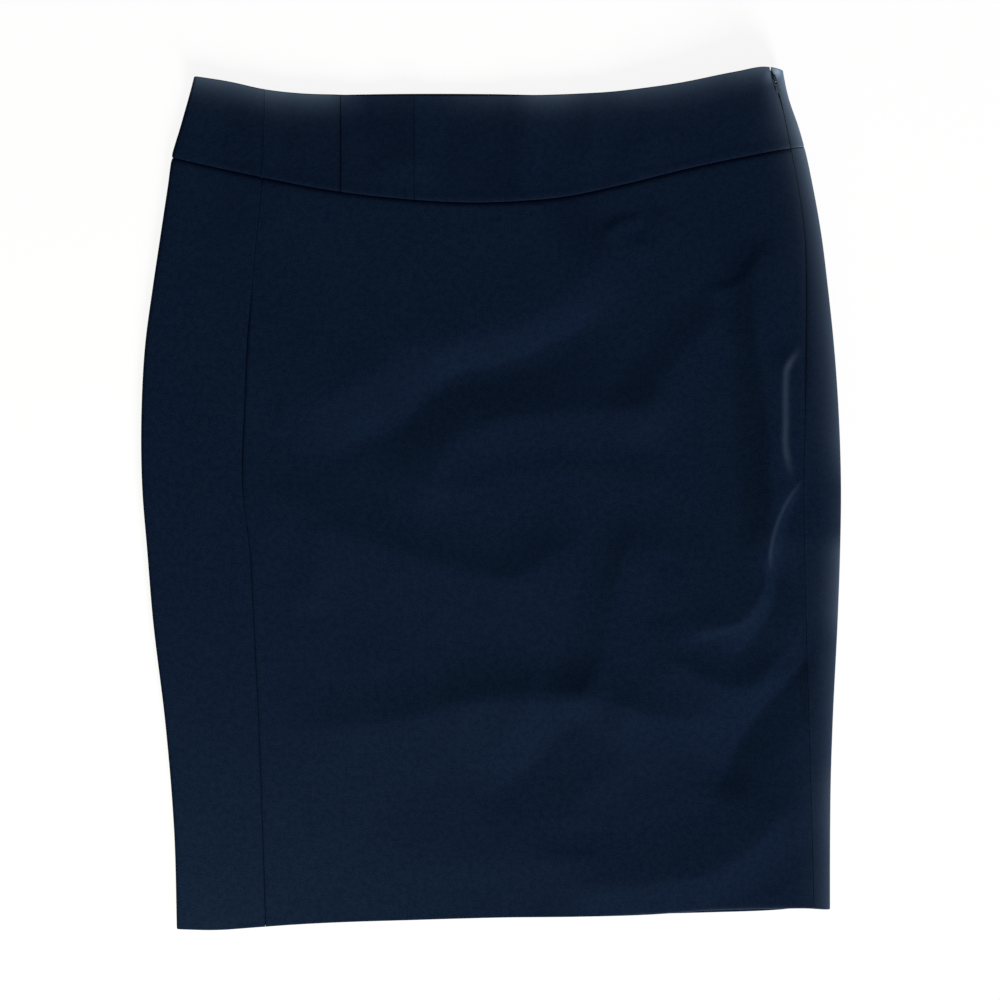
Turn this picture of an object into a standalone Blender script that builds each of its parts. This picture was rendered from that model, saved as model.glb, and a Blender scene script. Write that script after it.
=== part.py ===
"""Pencil skirt, laid flat on its back with the front panel up.

The skirt is a sewn tube: a shaped yoke of five pieces over three long panels, with an invisible
zip in one side seam. It lies pressed nearly flat, and only the side with the zip stays puffed
open, so the cloth rounds over there and leaves a channel from waist to hem.

Frame: +X runs across the skirt to the zip side, +Y from hem to waist, +Z up from the surface.
The origin is on the surface under the middle of the skirt. Sizes below are in millimetres.
"""

import math
from functools import lru_cache

import bmesh
import bpy
import numpy as np
from mathutils import Matrix, Vector

MM = 0.001
COLLECTION = "pencil_skirt"

# ---------------------------------------------------------------- driving dimensions, mm
WALL = 1.4              # suiting with its turned edges, pressed
SEAM_GAP = 0.3          # between two pieces where they are sewn together
LAYER_GAP = 0.6         # between front and back where the skirt lies pressed flat
FLAT_HEIGHT = 2 * WALL + LAYER_GAP

LEFT_ROUND = 2.5        # reach of the pressed fold, across
LEFT_HEIGHT = 4.2       # height of the pressed fold
LEFT_REACH = 26.0       # the cloth sinks to FLAT_HEIGHT over this width
LEFT_SEAM_IN = 10.0     # the left side seam lies under the skirt, this far in from the fold

LIFT_START = -40.0      # x where the front begins to leave the back
LIFT_HEIGHT = 10.0      # lift of the front over FLAT_HEIGHT where it reaches the right fold
LIFT_POWER = 2.2        # it rises slowly at first and then faster
LIFT_EASE = 14.0        # it levels out over this width before it turns over the right fold
UNDER_ROUND = 7.0       # reach of the right fold's underside, across
RIGHT_HOLD = 20.0       # the creases of the front fade to nothing over this width there

STRIP_SEAMS = (-102.8, -52.2)   # x of the two short yoke seams

YOKE_ROWS = 7
SKIRT_ROWS = 34
YOKE_SEAM_INSET = 0.18  # between the yoke seam and the nearest row, on either side

# Samples round one section, finer than the pieces' own columns.
UNDER_SAMPLES = 7
FOLD_SAMPLES = 25
FRONT_SAMPLES = 241
OVER_SAMPLES = 17
TUCK_SAMPLES = 13
BASE_SAMPLES = 81
NORMAL_STEP = 0.004     # half the step between levels over which a section's normals are taken

# The skirt's edges and long seams, a row for each height. left and right are the two folds,
# panel is the seam of the side front, side is the zip's side seam, and round is how far the upper
# quarter of the right fold reaches in.
SECTIONS = [
    # y,     left,    panel,   side,   right, round
    (300.0, -198.9, -154.1, 187.0, 197.0, 8.0),
    (272.0, -206.8, -154.5, 196.4, 203.0, 8.5),
    (252.0, -212.5, -155.0, 200.9, 209.9, 9.0),
    (238.0, -216.7, -155.4, 203.6, 213.8, 10.0),
    (212.0, -220.7, -156.8, 208.7, 219.4, 11.5),
    (180.0, -225.5, -159.9, 213.0, 225.0, 13.0),
    (143.0, -231.0, -163.2, 214.2, 229.6, 14.5),
    (107.0, -235.8, -166.2, 214.0, 233.4, 16.0),
    (63.0, -238.4, -168.2, 213.4, 236.6, 17.0),
    (6.0, -237.9, -169.4, 212.4, 238.4, 17.0),
    (-35.0, -234.6, -164.6, 212.8, 237.8, 16.0),
    (-78.0, -231.1, -162.3, 213.8, 236.3, 15.0),
    (-155.0, -222.0, -158.5, 216.0, 232.6, 13.0),
    (-192.0, -218.6, -157.1, 217.0, 231.4, 12.0),
    (-225.0, -216.3, -155.9, 217.9, 231.0, 11.0),
    (-300.0, -214.2, -153.5, 219.8, 230.9, 9.0),
]
SECTION_COLUMNS = ("y", "left", "panel", "side", "right", "round")

# The three level lines of the front, a row for each place across (0 at the left fold, 1 at the
# right one), with how far the back shows past the front there at waist and hem.
LEVELS = [
    # across, waist,  yoke,   hem,   back_lift, back_drop
    (0.00, 288.0, 233.0, -293.4, 0.0, 0.0),
    (0.06, 284.3, 227.0, -294.1, -1.2, -1.0),
    (0.12, 279.0, 221.4, -292.3, -1.2, -1.0),
    (0.18, 276.3, 215.9, -290.4, -0.8, -1.0),
    (0.25, 275.4, 210.4, -288.8, 0.6, -1.0),
    (0.35, 275.2, 205.1, -287.4, 1.4, -1.0),
    (0.50, 275.1, 202.0, -285.5, 1.4, -1.0),
    (0.62, 275.5, 206.0, -284.8, 0.3, -0.6),
    (0.72, 277.7, 214.9, -283.3, -0.6, 0.0),
    (0.82, 282.7, 225.3, -280.0, -1.2, 2.2),
    (0.92, 290.3, 234.0, -278.5, -1.0, 2.0),
    (0.97, 293.3, 237.8, -278.3, -0.4, 0.3),
    (1.00, 291.6, 239.6, -279.3, 0.0, 0.0),
]
LEVEL_COLUMNS = ("across", "waist", "yoke", "hem", "back_lift", "back_drop")

# The largest folds of the front: soft ridges along a bent line from start through a pull point
# to end, with their height and half width.
FOLDS = [
    # name,           x0,     y0,     x1,     y1,     x2,     y2,  height, half_width
    ("long_diagonal", -150.0, 46.0, 29.0, 115.0, 92.0, 196.0, 2.2, 26.0),
    ("eye_top", -46.0, -20.0, -23.0, 79.0, 172.0, 86.0, 1.8, 22.0),
    ("kink_ridge", -165.0, 8.0, 26.0, -114.0, 112.0, -12.0, 2.6, 26.0),
    ("swell_edge", -92.0, -156.0, 26.0, -120.0, 118.0, -140.0, 2.4, 26.0),
    ("zip_side_ridge", 173.0, 156.0, 184.0, 72.0, 191.0, -8.0, 3.4, 16.0),
    ("hook_ridge", 112.0, -102.0, 175.0, -163.0, 210.0, -96.0, 2.0, 14.0),
    ("hem_ridge", 66.0, -262.0, 192.0, -261.0, 214.0, -184.0, 2.2, 22.0),
]
FOLD_COLUMNS = ("name", "x0", "y0", "x1", "y1", "x2", "y2", "height", "half_width")
FOLD_STEPS = 24
FOLD_END = 0.04         # part of a fold's line, at either end, that is level
FOLD_FADE = 0.6         # under 1, a fold keeps its height for longer before it fades

# The sewn pieces of the tube. Each runs round the ring from one seam to the next, in columns
# spaced by length plus turning, so that tight folds get more of them.
PIECES = [
    # name,              band,   from,      to,        columns, turning
    ("yoke_side", "yoke", "left", "panel", 10, 26.0),
    ("yoke_outer_strip", "yoke", "panel", "strip_0", 4, 10.0),
    ("yoke_inner_strip", "yoke", "strip_0", "strip_1", 4, 10.0),
    ("yoke_front", "yoke", "strip_1", "side", 15, 12.0),
    ("yoke_back", "yoke", "side", "end", 20, 66.0),
    ("side_front_panel", "skirt", "left", "panel", 11, 26.0),
    ("front_panel", "skirt", "panel", "side", 31, 8.0),
    ("back_panel", "skirt", "side", "end", 20, 66.0),
]
PIECE_COLUMNS = ("name", "band", "from_seam", "to_seam", "columns", "turning")

# The invisible zip: two tapes inside the side seam, and a slider with its pull tab at the top.
ZIP_LENGTH = 200.0      # below the waist edge
TAPE_WIDTH = 8.5        # each tape
TAPE_WALL = 0.9
TAPE_CLEAR = 0.8        # between the cloth and the tapes
TAPE_COLUMNS = 4
TAPE_TOP = 1.995        # level at which the tapes end, just under the waist edge
NOTCH_DEPTH = 30.0      # the seam's edges part over this length below the waist
NOTCH_HALF_GAP = 1.4    # half their distance at the waist
SLIDER_DOWN = 8.5       # slider's middle below the waist edge
SLIDER_LENGTH = 6.2
BODY_WIDTH = 4.4        # the slider's body, inside the skirt
BODY_THICK = 1.5
BODY_CLEAR = 0.9        # between the tapes and the body
NECK_WIDTH = 0.6
CROWN_PLATE_WIDTH = 2.8  # its plate, outside the skirt
CROWN_PLATE_THICK = 0.7
PLATE_CLEAR = 0.35      # between the cloth and that plate
DISH = 0.15             # body and plate fall away from the neck to their edges
CROWN_WIDTH = 1.0       # the arch that holds the pull tab
CROWN_BAR = 0.7
WINDOW_HALF = 1.3       # half the arch's opening, along the seam
WINDOW_HEIGHT = 2.0
LEG = 0.8               # each leg of the arch, along the seam
CROWN_ROUND = 0.6       # outer corners of the arch
PULL_THICK = 0.7
PULL_RIM = 0.6          # beside and at the end of the pull's slot
PULL_SLOT_WIDTH = 1.6
PULL_SLOT_END = 3.1     # from the hinge axis
PULL_NECK = 4.4         # from the hinge axis, where the drop begins
PULL_NECK_WIDTH = 1.8
PULL_LENGTH = 9.5
PULL_DROP_WIDTH = 3.0
PULL_BEVEL = 0.12
PULL_TILT = math.radians(7.6)   # the tab droops from its hinge onto the cloth

NAVY_CLOTH = ("navy_suiting", (0.0052, 0.0098, 0.0235, 1.0), 0.85, 0.0)
NAVY_TAPE = ("navy_tape", (0.0060, 0.0100, 0.0220, 1.0), 0.80, 0.0)
ENAMEL = ("navy_enamel", (0.0220, 0.0290, 0.0430, 1.0), 0.35, 0.3)


# ---------------------------------------------------------------- tables and curves
def columns(rows, names):
    """Turn a table's rows into one array for each named column."""
    return {name: np.array([row[i] for row in rows]) for i, name in enumerate(names)}


SECTION = columns(sorted(SECTIONS), SECTION_COLUMNS)
LEVEL = columns(LEVELS, LEVEL_COLUMNS)


def smooth(at, knots, values):
    """Cubic curve through a table's values, level with its neighbours' slope at each knot."""
    slope = np.gradient(values, knots)
    i = np.clip(np.searchsorted(knots, at) - 1, 0, len(knots) - 2)
    step = knots[i + 1] - knots[i]
    t = np.clip((at - knots[i]) / step, 0.0, 1.0)
    rise = 3 * t**2 - 2 * t**3
    ease_in = t * (1 - t) ** 2
    ease_out = t**2 * (t - 1)
    curve = values[i] * (1 - rise) + values[i + 1] * rise
    return curve + step * (ease_in * slope[i] + ease_out * slope[i + 1])


def section(name, y):
    return smooth(y, SECTION["y"], SECTION[name])


def level(name, across):
    return smooth(across, LEVEL["across"], LEVEL[name])


def ramp(t):
    """Smooth step from 0 to 1."""
    t = np.clip(t, 0.0, 1.0)
    return t * t * (3 - 2 * t)


def level_y(across, v, back=False):
    """Height up the skirt at level v: 0 at the hem, 1 at the yoke seam, 2 at the waist."""
    if v <= 1.0:
        y = (1 - v) * level("hem", across) + v * level("yoke", across)
        return y - (1 - v) * level("back_drop", across) if back else y
    y = (2 - v) * level("yoke", across) + (v - 1) * level("waist", across)
    return y + (v - 1) * level("back_lift", across) if back else y


# ---------------------------------------------------------------- height of the front
def ridge(fold, x, y):
    """Height that one fold adds at x, y: a soft ridge that fades to nothing at both ends."""
    t = np.linspace(0.0, 1.0, FOLD_STEPS + 1)
    spine_x = (1 - t) ** 2 * fold["x0"] + 2 * t * (1 - t) * fold["x1"] + t**2 * fold["x2"]
    spine_y = (1 - t) ** 2 * fold["y0"] + 2 * t * (1 - t) * fold["y1"] + t**2 * fold["y2"]
    away = np.hypot(x[:, None] - spine_x, y[:, None] - spine_y)
    nearest = np.argmin(away, axis=1)
    fade = np.sin(math.pi * np.clip(t[nearest], FOLD_END, 1 - FOLD_END)) ** FOLD_FADE
    across = away[np.arange(len(x)), nearest] / fold["half_width"]
    return fold["height"] * fade * np.exp(-(across**2))


def front_height(x, y, left, right, right_round):
    """Height of the front's outer surface over the surface that the skirt lies on."""
    end = right - right_round
    from_left = x - left - LEFT_ROUND
    from_right = end - x
    z = FLAT_HEIGHT + (LEFT_HEIGHT - FLAT_HEIGHT) * (1 - ramp(from_left / LEFT_REACH))
    reach = end - LIFT_START
    z += LIFT_HEIGHT * np.clip((x - LIFT_START) / reach, 0.0, 1.0) ** LIFT_POWER
    slope = LIFT_HEIGHT * LIFT_POWER / reach
    z -= slope * np.clip(LIFT_EASE - from_right, 0.0, None) ** 2 / (2 * LIFT_EASE)
    hold = ramp(from_left / LEFT_REACH) * ramp(from_right / RIGHT_HOLD)
    for row in FOLDS:
        z += hold * ridge(dict(zip(FOLD_COLUMNS, row)), x, y)
    return z


# ---------------------------------------------------------------- the ring at one level
def ring_points(v):
    """One closed section of the skirt, from the left side seam round by the front and back."""
    left = section("left", level_y(0.0, v))
    right_y = level_y(1.0, v)
    right = section("right", right_y)
    reach = section("round", right_y)
    front_start = left + LEFT_ROUND
    front_end = right - reach

    def across(x):
        return np.clip((x - left) / (right - left), 0.0, 1.0)

    def height(x):
        return front_height(x, level_y(across(x), v), left, right, reach)

    left_r = height(np.array([front_start]))[0] / 2
    right_r = height(np.array([front_end]))[0] / 2
    under = np.linspace(left + LEFT_SEAM_IN, front_start, UNDER_SAMPLES)[:-1]
    turn = np.radians(np.linspace(-90.0, 90.0, FOLD_SAMPLES))
    front = np.linspace(front_start, front_end, FRONT_SAMPLES)[1:-1]
    over = np.radians(np.linspace(90.0, 0.0, OVER_SAMPLES))
    tuck = np.radians(np.linspace(0.0, -90.0, TUCK_SAMPLES))[1:]
    base = np.linspace(right - UNDER_ROUND, left + LEFT_SEAM_IN, BASE_SAMPLES)[1:]

    x = np.concatenate([
        under,
        front_start - LEFT_ROUND * np.cos(turn),
        front,
        front_end + reach * np.cos(over),
        right - UNDER_ROUND + UNDER_ROUND * np.cos(tuck),
        base,
    ])
    z = np.concatenate([
        np.zeros(len(under)),
        left_r * (1 + np.sin(turn)),
        height(front),
        right_r * (1 + np.sin(over)),
        right_r * (1 + np.sin(tuck)),
        np.zeros(len(base)),
    ])
    first_front = len(under) + len(turn) // 2
    last_front = len(under) + len(turn) + len(front) + len(over) - 1
    is_front = np.zeros(len(x), dtype=bool)
    is_front[first_front : last_front + 1] = True
    y = np.where(is_front, level_y(across(x), v), level_y(across(x), v, back=True))
    return np.stack([x, y, z], axis=1), first_front, last_front


class Ring:
    """The section at level v, with its outward normals and its length round from the start."""

    def __init__(self, v):
        self.points, self.first_front, self.last_front = ring_points(v)
        upward = ring_points(v + NORMAL_STEP)[0] - ring_points(v - NORMAL_STEP)[0]
        around = np.gradient(self.points, axis=0)
        normal = np.cross(around, upward)
        self.normals = normal / np.linalg.norm(normal, axis=1)[:, None]
        flat = np.diff(self.points[:, [0, 2]], axis=0)
        self.length = np.concatenate([[0.0], np.cumsum(np.hypot(flat[:, 0], flat[:, 1]))])
        angle = np.unwrap(np.arctan2(flat[:, 1], flat[:, 0]))
        self.turned = np.concatenate([[0.0], np.cumsum(np.abs(np.diff(angle))), [0.0]])
        self.turned[-1] = self.turned[-2]

    def seam(self, name):
        """Length round the ring at which the named seam is crossed."""
        if name == "left":
            return 0.0
        if name == "end":
            return self.length[-1]
        span = slice(self.first_front, self.last_front + 1)
        x, y, _ = self.points[span].T
        if name.startswith("strip_"):
            line = np.full(len(x), STRIP_SEAMS[int(name[-1])])
        else:
            line = section(name, y)
        beyond = x - line
        i = int(np.argmax(beyond > 0)) - 1
        part = -beyond[i] / (beyond[i + 1] - beyond[i])
        length = self.length[span]
        return length[i] + part * (length[i + 1] - length[i])

    def at(self, length):
        """Points and outward normals at these lengths round the ring."""
        point = [np.interp(length, self.length, self.points[:, k]) for k in range(3)]
        normal = [np.interp(length, self.length, self.normals[:, k]) for k in range(3)]
        normal = np.stack(normal, axis=-1)
        return np.stack(point, axis=-1), normal / np.linalg.norm(normal, axis=-1, keepdims=True)

    def spread(self, start, end, count, turning):
        """Lengths from start to end, in steps that are even in length plus turning."""
        measure = self.length + turning * self.turned
        ends = np.interp([start, end], self.length, measure)
        return np.interp(np.linspace(ends[0], ends[1], count + 1), measure, self.length)


@lru_cache(maxsize=None)
def ring_at(v):
    return Ring(v)


def zip_point(v):
    """Point and outward normal on the zip's seam at level v."""
    ring = ring_at(v)
    point, normal = ring.at(np.array([ring.seam("side")]))
    return point[0], normal[0]


def seam_half_gap(name, v):
    """Half the distance between the two pieces at a seam; the zip's seam opens at the waist."""
    half = SEAM_GAP / 2
    if name == "side":
        depth = zip_point(2.0)[0][1] - zip_point(v)[0][1]
        half += (NOTCH_HALF_GAP - half) * np.clip(1 - depth / NOTCH_DEPTH, 0.0, 1.0)
    return half


def rows_of(band):
    """The levels of a band's rows, kept clear of the yoke seam."""
    if band == "yoke":
        inset = YOKE_SEAM_INSET / (level("waist", 0.5) - level("yoke", 0.5))
        return np.linspace(1.0 + inset, 2.0, YOKE_ROWS + 1)
    inset = YOKE_SEAM_INSET / (level("yoke", 0.5) - level("hem", 0.5))
    return np.linspace(0.0, 1.0 - inset, SKIRT_ROWS + 1)


# ---------------------------------------------------------------- solids
def wall(name, outer, inner, finish, collection):
    """A closed wall between two grids of points, rows by columns, in millimetres."""
    rows, cols = outer.shape[:2]
    vertices = np.concatenate([outer.reshape(-1, 3), inner.reshape(-1, 3)]) * MM
    under = rows * cols
    faces = []
    for j in range(rows - 1):
        for i in range(cols - 1):
            a, b = j * cols + i, j * cols + i + 1
            c, d = b + cols, a + cols
            faces.append((a, b, c, d))
            faces.append((under + d, under + c, under + b, under + a))
    rim = list(range(cols))
    rim += [j * cols + cols - 1 for j in range(1, rows)]
    rim += [(rows - 1) * cols + i for i in range(cols - 2, -1, -1)]
    rim += [j * cols for j in range(rows - 2, 0, -1)]
    for a, b in zip(rim, rim[1:] + rim[:1]):
        faces.append((b, a, under + a, under + b))
    mesh = bpy.data.meshes.new(name)
    mesh.from_pydata(vertices.tolist(), [], faces)
    mesh.update()
    return add_object(name, mesh, finish, collection)


def material(finish):
    """A Principled material from its name, colour, roughness and metallic value."""
    name, colour, roughness, metallic = finish
    made = bpy.data.materials.get(name)
    if made:
        return made
    made = bpy.data.materials.new(name)
    made.use_nodes = True
    shader = made.node_tree.nodes["Principled BSDF"]
    shader.inputs["Base Color"].default_value = colour
    shader.inputs["Roughness"].default_value = roughness
    shader.inputs["Metallic"].default_value = metallic
    made.diffuse_color = colour
    return made


def add_object(name, mesh, finish, collection):
    item = bpy.data.objects.new(name, mesh)
    mesh.materials.append(material(finish))
    mesh.shade_smooth()
    mesh.set_sharp_from_angle(angle=math.radians(40))
    collection.objects.link(item)
    return item


def sewn_piece(row, collection):
    """One piece of cloth, from seam to seam across its band's rows."""
    piece = dict(zip(PIECE_COLUMNS, row))
    outer, inner = [], []
    for v in rows_of(piece["band"]):
        ring = ring_at(v)
        start = ring.seam(piece["from_seam"]) + seam_half_gap(piece["from_seam"], v)
        end = ring.seam(piece["to_seam"]) - seam_half_gap(piece["to_seam"], v)
        lengths = ring.spread(start, end, piece["columns"], piece["turning"])
        points, normals = ring.at(lengths)
        outer.append(points)
        inner.append(points - WALL * normals)
    return wall(piece["name"], np.array(outer), np.array(inner), NAVY_CLOTH, collection)


def zip_rows():
    """Levels of the tapes' rows: the pieces' own rows, from the waist down to the zip's end."""
    end_y = zip_point(2.0)[0][1] - ZIP_LENGTH
    lower = [v for v in rows_of("skirt") if zip_point(v)[0][1] > end_y]
    return np.array(lower + list(rows_of("yoke")[:-1]) + [TAPE_TOP])


def zip_tape(name, side, collection):
    """One tape, a strip behind the cloth on one side (-1 front, 1 back) of the zip's seam."""
    outer, inner = [], []
    for v in zip_rows():
        ring = ring_at(v)
        near = ring.seam("side") + side * seam_half_gap("side", v)
        far = near + side * TAPE_WIDTH
        points, normals = ring.at(np.linspace(min(near, far), max(near, far), TAPE_COLUMNS + 1))
        depth = WALL + TAPE_CLEAR
        outer.append(points - depth * normals)
        inner.append(points - (depth + TAPE_WALL) * normals)
    return wall(name, np.array(outer), np.array(inner), NAVY_TAPE, collection)


# ---------------------------------------------------------------- slider and pull tab
def slider_frame():
    """Axes at the slider: along the seam towards the hem, across it, and out of the cloth."""
    on_seam = [zip_point(v) for v in np.linspace(1.0, 2.0, 41)[1:]]
    points = np.array([point for point, _ in on_seam])
    normals = np.array([normal for _, normal in on_seam])
    at_y = points[-1, 1] - SLIDER_DOWN
    origin = Vector([np.interp(at_y, points[:, 1], points[:, k]) for k in range(3)])
    below = Vector([np.interp(at_y - PULL_LENGTH, points[:, 1], points[:, k]) for k in range(3)])
    normal = Vector([np.interp(at_y, points[:, 1], normals[:, k]) for k in range(3)])
    along = (below - origin).normalized()
    across = normal.cross(along).normalized()
    return origin, along, across, along.cross(across).normalized()


def placed(x_axis, y_axis, origin):
    """Matrix of an object whose own x and y run along these directions."""
    frame = Matrix((x_axis, y_axis, x_axis.cross(y_axis))).transposed().to_4x4()
    frame.translation = origin * MM
    return frame


def plate(name, outlines, thickness):
    """A flat plate from closed outlines in millimetres, holes included, centred on z = 0."""
    curve = bpy.data.curves.new(name, "CURVE")
    curve.dimensions = "2D"
    curve.fill_mode = "BOTH"
    curve.extrude = thickness * MM / 2
    for outline in outlines:
        spline = curve.splines.new("POLY")
        spline.points.add(len(outline) - 1)
        for point, (x, y) in zip(spline.points, outline):
            point.co = (x * MM, y * MM, 0.0, 1.0)
        spline.use_cyclic_u = True
    holder = bpy.data.objects.new(name, curve)
    bpy.context.scene.collection.objects.link(holder)
    bpy.context.view_layer.update()
    evaluated = holder.evaluated_get(bpy.context.evaluated_depsgraph_get())
    mesh = bpy.data.meshes.new_from_object(evaluated)
    bpy.data.objects.remove(holder)
    bpy.data.curves.remove(curve)
    weld(mesh)
    return mesh


def weld(mesh):
    """Close the loose caps of a filled curve."""
    work = bmesh.new()
    work.from_mesh(mesh)
    bmesh.ops.remove_doubles(work, verts=work.verts, dist=1e-6)
    bmesh.ops.recalc_face_normals(work, faces=work.faces)
    work.to_mesh(mesh)
    work.free()


def corner(x, y, radius, start, steps=4):
    """Points of a quarter circle round x, y from a start angle in degrees, anticlockwise."""
    angles = np.radians(np.linspace(start, start + 90.0, steps + 1))
    return [(x + radius * math.cos(a), y + radius * math.sin(a)) for a in angles]


BODY_TOP = -(WALL + TAPE_CLEAR + TAPE_WALL + BODY_CLEAR)
PLATE_TOP = PLATE_CLEAR + CROWN_PLATE_THICK
HINGE_OUT = PLATE_TOP + WINDOW_HEIGHT / 2


def slider_outline():
    """End view of the slider, across by out: body inside, neck in the seam, plate outside."""
    body, neck, top = BODY_WIDTH / 2, NECK_WIDTH / 2, CROWN_PLATE_WIDTH / 2
    right = [
        (body, BODY_TOP - BODY_THICK), (body, BODY_TOP - DISH), (neck, BODY_TOP),
        (neck, PLATE_CLEAR), (top, PLATE_CLEAR + DISH), (top, PLATE_TOP),
    ]
    return right + [(-x, y) for x, y in reversed(right)]


def crown_outline():
    """Side view of the arch, along by out; its legs sink into the slider's plate."""
    foot = PLATE_CLEAR + CROWN_PLATE_THICK / 2
    inside = PLATE_TOP + WINDOW_HEIGHT
    outer = WINDOW_HALF + LEG
    top = inside + CROWN_BAR
    points = [(outer, foot)]
    points += corner(outer - CROWN_ROUND, top - CROWN_ROUND, CROWN_ROUND, 0.0)
    points += corner(-outer + CROWN_ROUND, top - CROWN_ROUND, CROWN_ROUND, 90.0)
    points += [(-outer, foot), (-WINDOW_HALF, foot), (-WINDOW_HALF, inside)]
    points += [(WINDOW_HALF, inside), (WINDOW_HALF, foot)]
    return points


def zip_slider(frame, collection, cutters):
    """The slider, with its arch joined to its plate."""
    origin, along, across, out = frame
    body = add_object("zip_slider", plate("zip_slider", [slider_outline()], SLIDER_LENGTH),
                      ENAMEL, collection)
    body.matrix_world = placed(across, out, origin)
    arch = add_object("zip_slider_arch", plate("zip_slider_arch", [crown_outline()], CROWN_WIDTH),
                      ENAMEL, cutters)
    arch.matrix_world = placed(along, out, origin)
    arch.hide_render = True
    arch.display_type = "WIRE"
    join = body.modifiers.new("arch", "BOOLEAN")
    join.operation = "UNION"
    join.solver = "EXACT"
    join.object = arch
    return body


def pull_outline():
    """Drop-shaped outline of the pull tab, along by across, from its hinge bar to its end."""
    ring = PULL_SLOT_WIDTH / 2 + PULL_RIM
    neck = PULL_NECK_WIDTH / 2
    drop = PULL_DROP_WIDTH / 2
    widest = PULL_LENGTH - drop
    back = -PULL_THICK / 2
    edge = [(back, ring), (PULL_SLOT_END, ring)]
    for part in np.linspace(0.0, 1.0, 7):
        x = PULL_NECK + part * (widest - PULL_NECK)
        edge.append((x, neck + (drop - neck) * ramp(part)))
    for angle in np.radians(np.linspace(75.0, 0.0, 6)):
        edge.append((widest + drop * math.cos(angle), drop * math.sin(angle)))
    mirrored = [(x, -y) for x, y in reversed(edge[:-1])]
    return edge + mirrored


def zip_pull(frame, collection):
    """The pull tab, turning about the bar at its end, inside the slider's arch."""
    origin, along, across, out = frame
    bar = PULL_THICK / 2
    half = PULL_SLOT_WIDTH / 2
    slot = [(bar, -half), (PULL_SLOT_END, -half), (PULL_SLOT_END, half), (bar, half)]
    tab = add_object("zip_pull", plate("zip_pull", [pull_outline(), slot], PULL_THICK),
                     ENAMEL, collection)
    hinge = origin + out * HINGE_OUT
    droop = Matrix.Rotation(PULL_TILT, 3, across)
    tab.matrix_world = placed(droop @ along, across, hinge)
    soften = tab.modifiers.new("soft_edges", "BEVEL")
    soften.width = PULL_BEVEL * MM
    soften.segments = 2
    soften.limit_method = "ANGLE"
    return tab


# ---------------------------------------------------------------- the whole skirt
def empty_scene():
    for item in list(bpy.data.objects):
        bpy.data.objects.remove(item)


def new_collection(name):
    made = bpy.data.collections.new(name)
    bpy.context.scene.collection.children.link(made)
    return made


def build():
    empty_scene()
    skirt = new_collection(COLLECTION)
    cutters = new_collection("cutters")
    for row in PIECES:
        sewn_piece(row, skirt)
    zip_tape("zip_tape_front", -1, skirt)
    zip_tape("zip_tape_back", 1, skirt)
    frame = slider_frame()
    zip_slider(frame, skirt, cutters)
    zip_pull(frame, skirt)
    origin, _, across, out = frame
    hinge = (origin + out * HINGE_OUT) * MM
    print("pull tab hinge at", [round(c, 6) for c in hinge],
          "axis", [round(-c, 6) for c in across])


build()
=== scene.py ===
# %% [markdown]
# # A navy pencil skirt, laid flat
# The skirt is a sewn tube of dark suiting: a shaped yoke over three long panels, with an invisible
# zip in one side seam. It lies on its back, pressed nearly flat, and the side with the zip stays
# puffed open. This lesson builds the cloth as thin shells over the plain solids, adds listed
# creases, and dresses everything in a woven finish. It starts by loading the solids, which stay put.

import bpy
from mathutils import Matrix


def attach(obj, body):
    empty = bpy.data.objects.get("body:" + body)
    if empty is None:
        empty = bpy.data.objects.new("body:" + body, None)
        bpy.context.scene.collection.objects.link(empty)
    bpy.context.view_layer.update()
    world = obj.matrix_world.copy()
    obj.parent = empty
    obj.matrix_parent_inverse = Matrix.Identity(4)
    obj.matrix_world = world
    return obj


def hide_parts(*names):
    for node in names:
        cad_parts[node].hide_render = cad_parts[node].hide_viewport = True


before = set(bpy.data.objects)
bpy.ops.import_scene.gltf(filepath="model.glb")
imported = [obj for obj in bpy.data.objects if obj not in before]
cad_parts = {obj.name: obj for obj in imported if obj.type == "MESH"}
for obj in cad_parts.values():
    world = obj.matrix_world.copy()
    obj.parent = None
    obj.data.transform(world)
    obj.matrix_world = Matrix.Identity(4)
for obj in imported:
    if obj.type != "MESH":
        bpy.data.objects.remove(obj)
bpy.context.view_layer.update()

# %% [markdown]
# ## Tools for the work
# Arrays suit cloth well: a whole panel is one grid of points, and each step below changes all of
# them at once.

# %% Other imports
import math
from functools import lru_cache

import bpy
import numpy as np
from mathutils import Vector, noise

print("Blender", bpy.app.version_string, "with numpy", np.__version__)

# %% [markdown]
# ## Sizes
# All lengths below are in millimetres, in the solids' own frame: +X runs to the zip side, +Y from
# hem to waist, and +Z up from the surface. The cloth itself is thinner than its solid, because the
# solid also stands for turned edges and for what is sewn inside.

# %% Cloth sizes
MM = 0.001
SOLID_WALL = 1.4
LAYER_GAP = 0.6
FLAT_HEIGHT = 2 * SOLID_WALL + LAYER_GAP
CLOTH = 0.9  # suiting
YOKE_CLOTH = 1.25  # with fusible interfacing
HEM_CLOTH = 1.3  # two layers, where the hem is turned up inside
HEM_DEPTH = 38.0
HEM_STEP = 2.0  # the turned-up layer ends over this width
SEAM_GAP = 0.08  # sewn edges all but touch
print("pressed flat, the two layers are", FLAT_HEIGHT, "mm high")

# %% [markdown]
# ## The outline as two short tables
# A pattern maker draws a skirt from a few measures at chosen heights. The first table gives the
# two folds, the long seams and the roundness at each height. The second gives the waist, yoke seam
# and hem at each place across, with how far the back shows past the front. Curves through these
# few rows keep the edges smooth, which a long list of points would not.

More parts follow.
